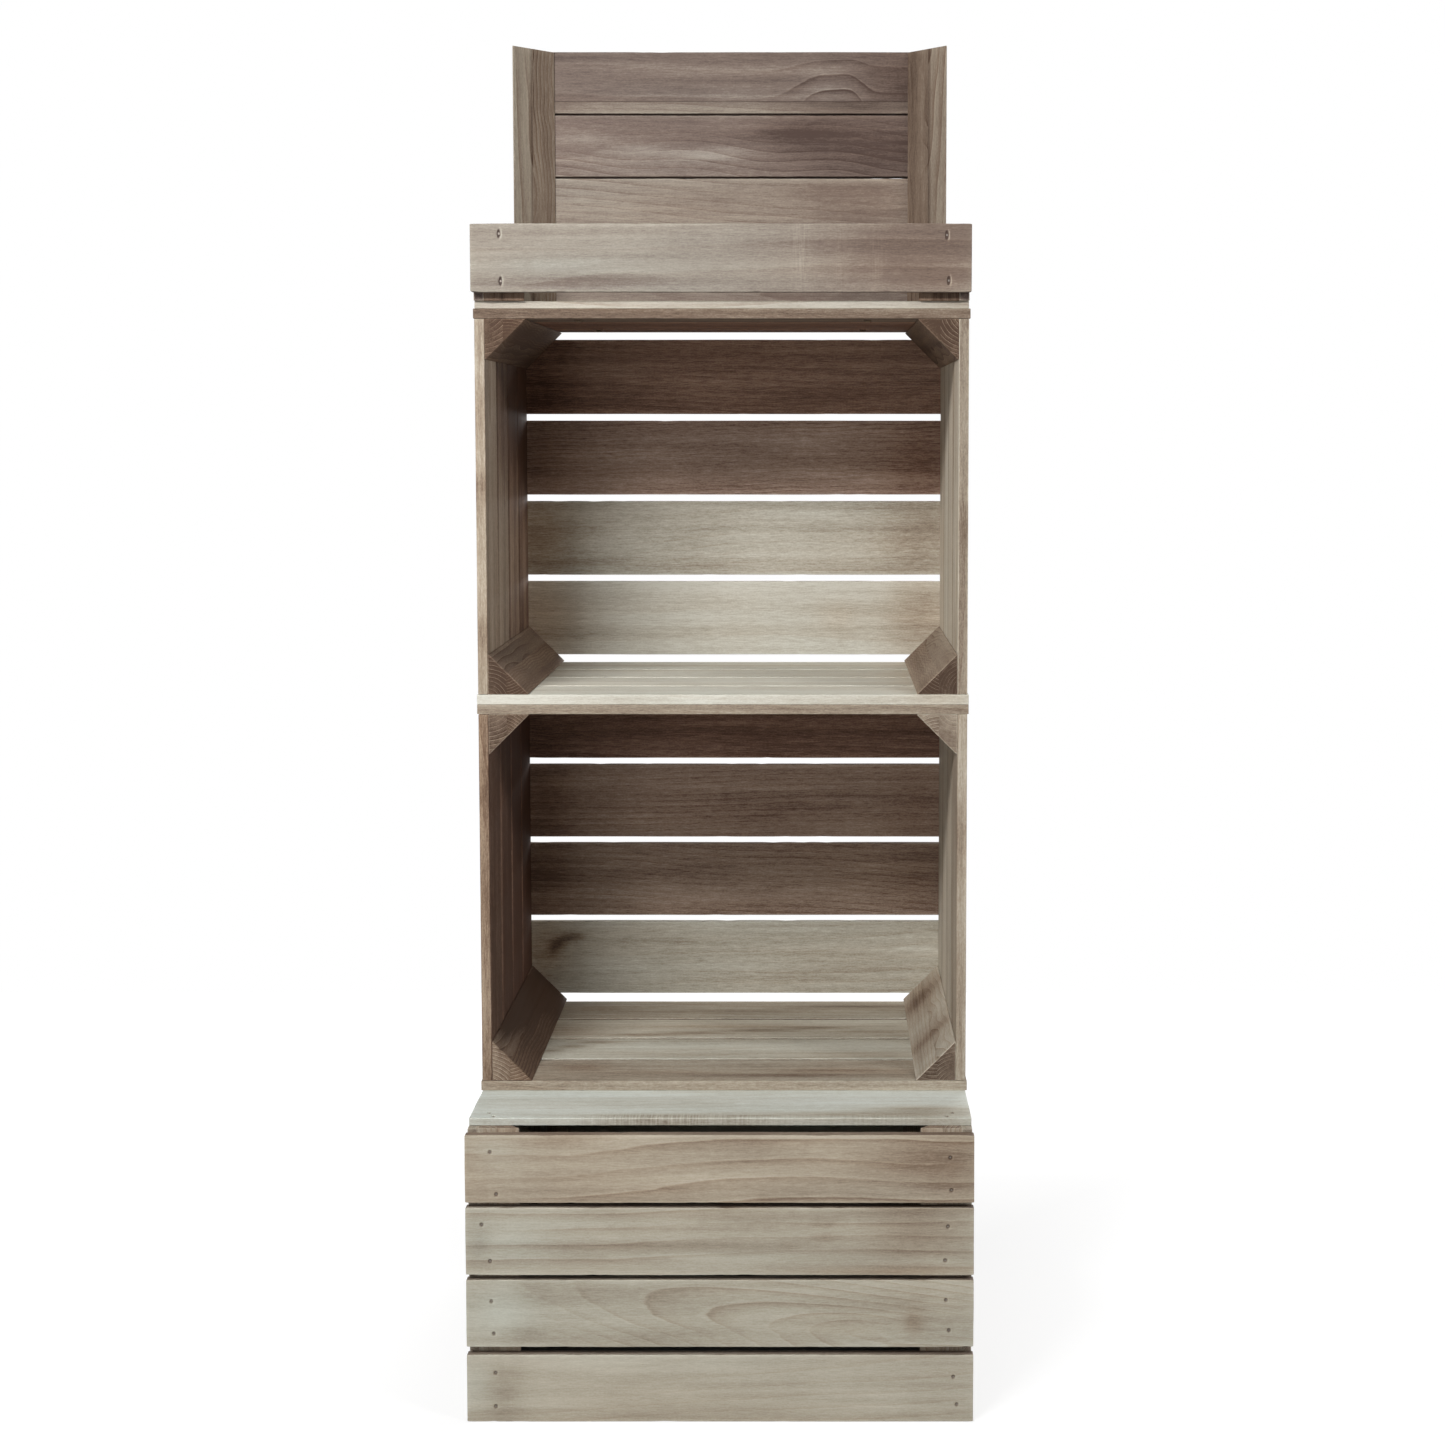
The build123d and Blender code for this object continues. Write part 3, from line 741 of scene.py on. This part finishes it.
upper_looks = {
    # Floor boards, front first: the dark, warm patches at both ends are painted shade beside the walls.
    "floor": [
        one(light=0.43, warm=-0.2, violet=-0.1, figure=0.3, edges=-0.14, marks=[
            (80, -14, 120, 4, -0.12, 0.2), (-60, 6, 50, 3, -0.08, 0.3), (220, 0, 35, 60, -0.12, 0.8)]),
        one(light=0.43, warm=-0.2, violet=-0.1, figure=0.4, edges=-0.10, marks=[
            (-120, 0, 60, 4, -0.14, 0.2), (90, 12, 150, 5, -0.16, 0.4), (215, 0, 40, 60, -0.16, 0.9)]),
        one(light=0.40, warm=-0.2, violet=-0.1, figure=0.4, edges=-0.10, marks=[
            (40, -10, 110, 5, 0.08, -0.3), (-215, 0, 30, 60, -0.14, 0.4), (215, 0, 40, 60, -0.16, 0.8)]),
        one(light=0.38, warm=-0.2, violet=-0.1, figure=0.3, edges=-0.10, marks=[
            (0, 4, 300, 6, -0.20, 0.9), (-215, 0, 30, 60, -0.18, 0.4), (215, 0, 40, 60, -0.14, 0.6)]),
    ],
    # Ceiling boards, front first: dark and brown inside, those behind the front one browner still, partly
    # painted shade under the ceiling.
    "ceiling": [
        one(light=-0.36, warm=0.6, edges=0.0),
        *(one(light=-0.31, warm=3.5, violet=0.9) for _ in range(3)),
    ],
    # Back slats, lowest first: the upper ones darker and browner are partly painted shade of the ceiling; the
    # dark brown patches at their ends are painted shade of the walls.
    "back": [
        one(light=0.38, warm=-0.2, figure=0.3, rings=14.0, marks=[
            (-10, 10, 110, 20, 0.05, 0.0), (-190, 10, 35, 30, -0.06, 0.3), (120, 0, 25, 20, -0.04, 0.6),
            (-230, 0, 40, 60, -0.14, 2.4), (220, 0, 45, 60, -0.28, 1.0),
        ]),
        one(light=0.22, warm=-0.3, figure=0.5, rings=11.0, pith=(-90, -50), lean=(-0.05, 0.0), marks=[
            (-160, 26, 60, 9, -0.18, 0.2), (-60, 32, 60, 5, -0.12, 0.2), (20, -6, 130, 18, 0.08, 0.0),
            (-170, -12, 40, 10, -0.06, 0.2), (190, 6, 30, 14, -0.06, 0.3), (-230, 0, 40, 60, -0.23, 2.4),
            (220, 0, 45, 60, -0.20, 0.4),
        ]),
        one(light=-0.04, warm=1.4, violet=0.8, figure=1.0, rings=4.6, pith=(150, -20), lean=(-0.03, 0.0),
            wander=(0.8, 90, 0.3), marks=[(-225, 0, 40, 60, -0.10, 1.0), (220, 0, 45, 60, -0.20, 1.2)]),
        one(light=-0.19, warm=2.6, violet=0.7, figure=0.5, rings=7.0, pith=(90, -40),
            lean=(0.03, 0.0), marks=[(-225, 0, 40, 60, -0.22, 1.4)]),
    ],
    "walls": {"left": (-0.08, -0.12, -0.24, -0.36), "right": (0.14, 0.17, 0.21, 0.21)},
    "seams": {"left": -0.28, "right": -0.40},
    "shade": (0, 0.28, 0.46, 0.62),
    "rims": {"left": 0.06, "right": -0.30},
    "worn": {
        "left": ((-130, 20, -0.16), (-60, 30, 0.06), (20, 18, -0.18), (95, 25, -0.12), (140, 12, 0.08)),
        "right": ((-110, 30, -0.06), (-20, 22, -0.10), (90, 40, 0.05)),
    },
    "posts": {
        "bottom_left": (-0.23, -0.06, []),
        "bottom_right": (-0.17, -0.12, []),
        "top_left": (-0.42, 0.15, []),
        "top_right": (-0.36, 0.08, []),
    },
}
for name, looks in (("lower", lower_looks), ("upper", upper_looks)):
    shelf = f"{name}_shelf"
    brads = f"{shelf}_brads"
    for place, way in (("floor", -1), ("ceiling", 1)):
        node, cuts = f"{shelf}_{place}_slats", looks[place]
        washed_outside(cuts, outside_light)
        boards_piece(node, 0, (0, 0, way), cuts, brads, "shelf_wood", shelf_gaps)
    for number, cuts in enumerate(looks["back"]):
        washed_outside([cuts], outside_light)
        boards_piece(f"{shelf}_back_slat_{number + 1}", 0, (0, 1, 0), [cuts], brads, "back_wood")
    for hand, end in hands.items():
        node = f"{shelf}_{hand}_end_boards"
        seam = looks["seams"][hand]
        # A darker wall board is made browner and more mauve with its darkness: painted colour of shade.
        cuts = [
            one(light=light, warm=0.3 - 4.5 * min(light, 0), violet=-1.2 * min(light, 0), figure=0.6,
                rings=6.0, edges=looks["rims"][hand], marks=[(0, 33 * end, 220, 4.5, seam, -1.2 * seam)])
            for light in looks["walls"][hand]
        ]
        washed_outside(cuts, outside_light)
        # On the left walls, shade marks paint the ceiling's shadow: darker and browner towards the top, a
        # little lighter low down.
        if hand == "left":
            for board_cuts, deep in zip(cuts, looks["shade"]):
                board_cuts["cuts"][0]["marks"] += [
                    (110, 0, 80, 70, -deep, 4 * deep), (-60, 0, 60, 70, deep / 5, 0.0)]
        cuts[0]["cuts"][0]["marks"] = [
            (at, 37 * end, long, 5, lighter, -2 * lighter) for at, long, lighter in looks["worn"][hand]
        ]
        boards_piece(node, 2, (end, 0, 0), cuts, brads, "shelf_wood", end_gaps)
        for place, side in (("bottom", -1), ("top", 1)):
            light, ends, marks = looks["posts"][f"{place}_{hand}"]
            # A darker post is made browner with its darkness; the dark posts and their dark marks are partly
            # painted shade.
            woods = post_cuts(light, light - 0.03, warm=0.3 - 3 * light, ends=ends, marks=marks)
            post_piece(f"{shelf}_{place}_{hand}_post", 1, end, 2, side, woods, 0.45)

# Tray: the small crate on top, with one low slat in front, four slats up the back, three base slats
# and one board at each end. Its wood is the darkest, with a violet cast where the wash is thin. Two
# of its front slat's brads tore the wood as they went in.
tray_stops = [
    (0.065, 0.045, 0.038), (0.175, 0.135, 0.113), (0.345, 0.300, 0.248),
    (0.520, 0.480, 0.410), (0.680, 0.650, 0.580),
]
wood_of["tray_wood"] = washed_wood("tray_washed_wood", tray_stops)
# Torn dents carry more painted shade within and a stronger painted highlight on their rim.
torn = (2.2 * mm, 5.0 * mm, -1.05, 0.32)    # dents like round_dent, longer across and darker
skew = 1.5 * mm           # lower rear edges of the back slats stand proud by this
front = one(light=-0.10, warm=-0.2, violet=-0.1, figure=0.3, rings=12.0, pith=(-60, -120), marks=[
    (200, 0, 110, 60, -0.20, 1.3), (-150, -24, 80, 6, -0.06, 0.2), (-170, -8, 70, 12, 0.06, -0.5),
    (-60, -30, 60, 5, 0.05, -0.2), (215, -24, 30, 8, -0.06, 0.4),
], scuffs=[(80, 10, 8, 40, 0.10), (120, 0, 4, 30, 0.08), (155, 0, 6, 25, 0.08)])
boards_piece("tray_front_slat", 0, across_front, [front], "tray_brads", "tray_wood", dent=torn)
tray_backs = [
    one(light=-0.14, violet=0.1),
    one(light=-0.10, warm=0.3, violet=-0.05, figure=0.8, rings=7.0, pith=(-60, -60), lean=(0.08, 0.0), marks=[
        (-130, 4, 50, 10, 0.08, -0.2), (40, 10, 70, 8, 0.06, 0.0), (170, 0, 90, 40, -0.10, 0.6),
        (110, -22, 90, 10, -0.06, 0.4), (-175, -14, 60, 14, 0.09, -0.3),
    ]),
    one(light=-0.25, warm=0.2, violet=0.15, figure=0.6, rings=9.0, pith=(-90, -40), lean=(0.07, 0.0),
        wander=(3, 160, 0.0), marks=[
        (80, -15, 60, 10, -0.13, 0.6), (-165, -8, 35, 5, 0.13, -0.4), (-100, 4, 45, 5, 0.16, -0.5),
        (-30, 12, 40, 5, 0.18, -0.5), (-15, 4, 40, 5, 0.14, -0.4), (-110, 16, 90, 18, 0.09, -0.2),
        (180, 0, 70, 40, -0.20, 0.8), (85, 2, 60, 45, -0.08, 0.4), (130, -31, 110, 8, -0.10, 0.3),
    ]),
    {
        "divisions": [20.5],
        "cuts": [
            cut(light=-0.30, warm=0.1, violet=0.05, figure=0.45, rings=22.0, pith=(116, -120),
                lean=(0.0, 0.0), wander=(1.0, 400, 0.5), fades=[(112, 8, 40, 20, -3.4)],
                knots=[(106, 22, 34, 45, -2.1), (134, 10, 15, 40, -0.9)], marks=[
                (205, 0, 60, 60, -0.16, 1.2), (-110, -12, 90, 14, 0.02, 0.0), (-90, 14, 60, 5, 0.06, 0.0),
                (-20, 12, 110, 8, 0.06, -0.3), (-225, 0, 12, 30, 0.08, -0.6), (112, 8, 26, 12, 0.07, -0.4),
            ]),
            cut(light=-0.20, warm=0.1, violet=-0.15, figure=0.4, marks=[
                (155, 0, 95, 60, -0.25, 0.9), (-220, 0, 50, 60, -0.10, 0.2)]),
        ],
    },
]
for number, cuts in enumerate(tray_backs):
    node = f"tray_back_slat_{number + 1}"
    washed_outside([cuts], 0.04)
    fuller = (0.0, skew if number > 0 else 0.0)
    boards_piece(node, 0, (0, 1, 0), [cuts], "tray_brads", "tray_wood", spread=fuller)
for number in range(3):
    cuts = one(light=0.02, warm=-0.1, violet=-0.3, figure=0.6, edges=0.03)
    boards_piece(f"tray_base_slat_{number + 1}", 0, (0, 0, -1), [cuts], "tray_brads", "tray_wood")
for hand, end in hands.items():
    cuts = one(light=-0.04, warm=0.2, ends=-0.25)
    boards_piece(f"tray_{hand}_end_board", 1, (end, 0, 0), [cuts], "tray_brads", "tray_wood")
    # The front posts are given a dark tone, painted shade where they stand hidden behind the front slat.
    post_piece(f"tray_front_{hand}_post", 2, end, 1, -1, post_cuts(-0.42, -0.38, 6.0, 1.0), 0.45)
    light = {"left": (-0.08, -0.22), "right": (-0.10, -0.33)}[hand]
    woods = post_cuts(*light, 6.0, 0.0, swirls=9)
    post_piece(f"tray_back_{hand}_post", 2, end, 1, 1, woods, 0.45, seam=1.3)

# Brads: square steel wire, driven just under the surface by a gun, so that their heads sit in the
# dents of the boards. The steel has gone dull and dark.
def dull_steel(name, dark, bright, rough):
    """Aged steel: round noise on the piece's own place picks between a dark and a bright grey."""
    material = bpy.data.materials.new(name)
    material.use_nodes = True
    tree = material.node_tree
    add, shader = adder(tree), tree.nodes["Principled BSDF"]
    noise = add("ShaderNodeTexNoise", {"Vector": add("ShaderNodeTexCoord", {}, "Object"), "Scale": 700.0})
    tree.links.new(ramp(noise, [(0.0, dark), (1.0, bright)]), shader.inputs["Base Color"])
    shader.inputs["Metallic"].default_value = 0.9
    shader.inputs["Roughness"].default_value = rough
    return material


brad_wire = dull_steel("brad_dull_steel", (0.06, 0.045, 0.035), (0.30, 0.27, 0.24), 0.5)
for node in ("plinth_brads", "lower_shelf_brads", "upper_shelf_brads", "tray_brads"):
    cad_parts[node].data.materials.clear()
    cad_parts[node].data.materials.append(brad_wire)

# Joining screws: wood screws with low round heads and a cross recess, of steel whose zinc has gone
# dull and yellowish. They go up through the boards of the lower crate into those of the upper one.
head_radius = 3.9 * mm
head_height = 2.1 * mm
dome_height = 0.45 * head_height
shank_radius = 1.75 * mm
thread_pitch = 1.6 * mm
thread_depth = 0.35 * mm
recess_reach = 2.3 * mm
recess_half = 0.45 * mm
recess_depth = 1.1 * mm
tip_length = 2.4 * mm
around = 48               # mesh lines round a screw


def screw(length):
    """A screw on its axis, head down at height 0. Radius and height run along a profile, and the
    grid turns it about the axis. The head bulges by a quarter wave, the recess sinks it where the
    nearer bar of a cross passes, and the thread lowers the shank by a sawtooth of height and turn."""
    turn = np.linspace(0, 2 * np.pi, around, endpoint=False)
    share = np.linspace(0, 1, 15)[1:]
    rim = [(head_radius, dome_height), (head_radius, 0.8 * head_height), (0.96 * head_radius, head_height)]
    rise = np.arange(head_height + 0.2 * mm, length - tip_length, thread_pitch / 6)
    dome = np.column_stack([share * head_radius, dome_height * (1 - np.cos(share * np.pi / 2))])
    shank = np.column_stack([np.full(len(rise), shank_radius), rise])
    neck = [(shank_radius, head_height)]
    tip = [(0.6 * shank_radius, length - 1.0 * mm), (0.1 * mm, length)]
    profile = np.vstack([dome, rim, neck, shank, tip])
    radius, height = profile[:, :1], profile[:, 1:]
    on_shank = (height > head_height + 0.1 * mm) & (height < length - 2.0 * mm)
    saw = (height / thread_pitch + turn / (2 * np.pi)) % 1
    radius = radius - np.where(on_shank, thread_depth * saw, 0)
    x, y = radius * np.cos(turn), radius * np.sin(turn)
    bar = np.minimum(np.abs(x), np.abs(y))
    in_bar = np.clip((recess_half - bar) / (0.25 * mm), 0, 1)
    in_bar = in_bar * np.clip((recess_reach - radius) / (0.3 * mm), 0, 1)
    z = height + np.where(height <= dome_height, recess_depth * in_bar, 0)
    points = np.stack([x, y, np.broadcast_to(z, x.shape)], -1).reshape(-1, 3)
    ends = np.array([(0, 0, recess_depth), (0, 0, length)])
    quads = ring_grid(len(profile), around)[-1]
    k = np.arange(around)
    after, last_row = (k + 1) % around, len(points) - around
    first = np.column_stack([np.full(around, len(points)), k, after])
    last = np.column_stack([np.full(around, len(points) + 1), last_row + after, last_row + k])
    return np.vstack([points, ends]), [f[::-1] for part in (quads, first, last) for f in part.tolist()]


same_level = 40 * mm
steel_corners = corners_of("joining_screws")
levels = heaps(steel_corners[:, 2:], same_level)
points, faces, base = [], [], 0
for level in levels:
    near = np.abs(steel_corners[:, 2] - level) < same_level
    foot, top = steel_corners[near, 2].min(), steel_corners[near, 2].max()
    heads = steel_corners[np.abs(steel_corners[:, 2] - foot) < 0.05 * mm]
    for place in heaps(heads, 3 * head_radius):
        made, sides = screw(top - foot)
        points.append(made + (place[0], place[1], foot))
        faces += [[v + base for v in f] for f in sides]
        base += len(made)
screws = mesh_object("joining_screws_turned", np.vstack(points), faces, np.ones(len(faces), bool))
screws.data.materials.append(dull_steel("screw_dull_zinc", (0.16, 0.12, 0.085), (0.34, 0.27, 0.20), 0.55))
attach(screws, "root")
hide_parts("joining_screws")

# Floor and backdrop: a plain pale floor that runs out to white, kept dark only inside the plinth,
# where the boards shut the light out.
def white_where_seen(add):
    """1 for what the camera, a gloss or a glass sees, 0 for what lights the object."""
    rays = add("ShaderNodeLightPath", {}).node.outputs
    seen = rays["Is Camera Ray"]
    for other in ("Is Glossy Ray", "Is Transmission Ray"):
        seen = add("ShaderNodeMath", {0: seen, 1: rays[other]}, operation="MAXIMUM")
    return seen


floor_corners = [(-3.5, -3.5, 0), (3.5, -3.5, 0), (3.5, 1.3, 0), (-3.5, 1.3, 0)]
floor = mesh_object("floor", floor_corners, [(0, 1, 2, 3)], [False])
floor_paint = bare_material("floor_paint")
add = adder(floor_paint.node_tree)
plain = add("ShaderNodeBsdfDiffuse", {0: (0.72, 0.71, 0.69, 1)})
matt = add("ShaderNodeBsdfDiffuse", {0: (0.25, 0.25, 0.25, 1)})
beyond = add("ShaderNodeVectorMath", {0: add("ShaderNodeTexCoord", {}, "Object")}, operation="ABSOLUTE")
beyond = add("ShaderNodeVectorMath", {0: beyond, 1: (0.24, 0.19, 0)}, operation="SUBTRACT")
parts = add("ShaderNodeSeparateXYZ", {0: beyond}).node.outputs
far = add("ShaderNodeMath", {0: parts[0], 1: parts[1]}, operation="MAXIMUM")
glow = add("ShaderNodeEmission", {"Strength": ramp(far, [(0.0, 0.0), (0.01, 0.80), (0.6, 1.0)])})
both = add("ShaderNodeAddShader", {0: matt, 1: glow})
show(add("ShaderNodeMixShader", {0: white_where_seen(add), 1: plain, 2: both}))
floor.data.materials.append(floor_paint)

world = bpy.data.worlds.new("studio")
bpy.context.scene.world = world
world.use_nodes = True
add, background = adder(world.node_tree), world.node_tree.nodes["Background"]
level = add("ShaderNodeMapRange", {"Value": white_where_seen(add), "To Min": 0.035, "To Max": 1.0})
world.node_tree.links.new(level, background.inputs["Strength"])
background.inputs["Color"].default_value = (1, 1, 1, 1)


# Light: a long narrow soft box high in front and to the left, a weaker one to the right at the same
# height, a broad dim one farther off that reaches under the ceilings, and one behind for the back.
def lamp(name, at, aim, width, height, power):
    """A soft oblong lamp that looks at a point."""
    data = bpy.data.lights.new(name, "AREA")
    data.shape = "RECTANGLE"
    data.size, data.size_y, data.energy = width, height, power
    made = bpy.data.objects.new(name, data)
    bpy.context.scene.collection.objects.link(made)
    made.location = at
    way = Vector(aim) - Vector(at)
    made.rotation_euler = way.to_track_quat("-Z", "Y").to_euler()
    made.visible_camera = False


lamp("key_lamp", (-0.85, -1.43, 1.95), (0.0, 0.0, 0.7), 0.80, 0.16, 36.0)
lamp("side_lamp", (2.10, -1.43, 1.95), (0.0, 0.0, 0.7), 0.50, 0.16, 25.0)
lamp("low_lamp", (-1.2, -3.4, 1.25), (0.0, 0.0, 0.7), 1.5, 0.9, 25.0)
lamp("back_lamp", (1.2, 3.2, 1.6), (0.0, 0.2, 0.7), 2.2, 1.6, 60.0)

# Camera: at the height of the upper shelf, a little to the right, looking slightly down. Its frame
# is shifted as the photo's is: focal length and optical centre are in pixels of the square photo.
view = bpy.context.scene.view_settings
view.view_transform = "Standard"
camera_data = bpy.data.cameras.new("camera")
camera = bpy.data.objects.new("camera", camera_data)
bpy.context.scene.collection.objects.link(camera)
bpy.context.scene.camera = camera
photo_side = 1445.0
focal = 1986.4
centre_x, centre_y = 814.3, 558.4
camera_data.sensor_width = 36.0
camera_data.lens = 36.0 * focal / photo_side
camera_data.shift_x = (photo_side / 2 - centre_x) / photo_side
camera_data.shift_y = (centre_y - photo_side / 2) / photo_side
camera.location = (0.09297, -2.10436, 0.97867)
camera.rotation_euler = (math.radians(90) - 0.0647, 0.0, 0.0)
camera_data.clip_start = 0.05
camera_data.clip_end = 60.0
